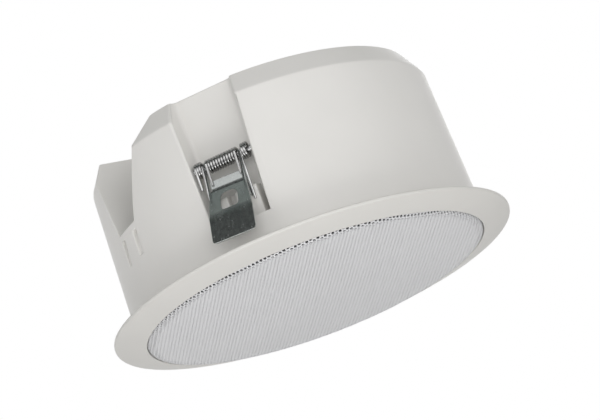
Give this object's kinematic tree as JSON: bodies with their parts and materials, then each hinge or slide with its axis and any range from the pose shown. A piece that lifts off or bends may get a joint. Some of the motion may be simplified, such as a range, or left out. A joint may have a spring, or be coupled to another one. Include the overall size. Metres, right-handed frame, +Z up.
{
  "type": "in_ceiling_speaker",
  "caption": "In-ceiling speaker with a flanged round grille, a moulded back can and sprung clips that grip the ceiling panel",
  "frame": {"origin": "Centre of the flange's rear face, where it seats against the underside of the ceiling", "axes": "+Z up into the ceiling void, out of the back of the can; -Z into the room, out of the grille; clip a on -Y, clip b on +Y; cable recess on the -X -Y side"},
  "size_m": [0.23, 0.2338, 0.1078],
  "materials": {
    "frame_plastic": "satin warm white moulded plastic",
    "can_plastic": "satin warm white moulded plastic",
    "grille_steel": "white powder coat",
    "cloth": "black scrim",
    "screw_steel": "bright zinc plate",
    "foam": "black foam strip",
    "basket_steel": "black paint on pressed steel",
    "tag_board": "brown laminate with tinned tags",
    "surround_rubber": "treated cloth, black",
    "cone_paper": "black pulp",
    "copper": "enamelled copper wire",
    "spider_cloth": "resin-treated cotton",
    "plated_steel": "zinc plate",
    "ferrite": "sintered ferrite",
    "lamination": "varnished steel laminations",
    "bobbin": "taped winding",
    "terminal_plastic": "black moulded nylon",
    "clip_steel": "zinc-plated sheet",
    "spring_wire": "zinc-plated spring wire"
  },
  "bodies": {
    "body": {"front_frame": "frame_plastic", "back_can": "can_plastic", "grille": "grille_steel", "grille_cloth": "cloth", "frame_screws": "screw_steel", "driver_gasket": "foam", "driver_basket": "basket_steel", "driver_screws": "screw_steel", "driver_terminals": "tag_board", "surround": "surround_rubber", "spider": "spider_cloth", "top_plate": "plated_steel", "magnet": "ferrite", "back_plate": "plated_steel", "transformer_core": "lamination", "transformer_bobbin": "bobbin", "transformer_bracket": "plated_steel", "transformer_screws": "screw_steel", "terminal_block": "terminal_plastic", "terminal_screws": "screw_steel", "clip_pin_a": "clip_steel", "clip_pin_b": "clip_steel", "clip_spring_a": "spring_wire", "clip_spring_b": "spring_wire"},
    "clip_a": {"clip_plate_a": "clip_steel", "clip_spring_arm_a": "spring_wire"},
    "clip_b": {"clip_plate_b": "clip_steel", "clip_spring_arm_b": "spring_wire"},
    "cone_assembly": {"cone": "cone_paper", "whizzer_cone": "cone_paper", "dust_cap": "cone_paper", "voice_coil": "copper"}
  },
  "joints": [
    {"name": "clip_a_hinge", "type": "hinge", "parent": "body", "child": "clip_a", "pos_m": [0, -0.093, 0.0535], "axis": [-1, 0, 0], "range_deg": [0, 150], "stiffness_Nm_per_rad": 0.1, "springref_deg": -28.65},
    {"name": "clip_b_hinge", "type": "hinge", "parent": "body", "child": "clip_b", "pos_m": [0, 0.093, 0.0535], "axis": [1, 0, 0], "range_deg": [0, 150], "stiffness_Nm_per_rad": 0.1, "springref_deg": -28.65},
    {"name": "cone_travel", "type": "slide", "parent": "body", "child": "cone_assembly", "axis": [0, 0, 1], "range_m": [-0.0025, 0.0025], "stiffness_N_per_m": 2000, "deforming": ["surround", "spider"]}
  ]
}
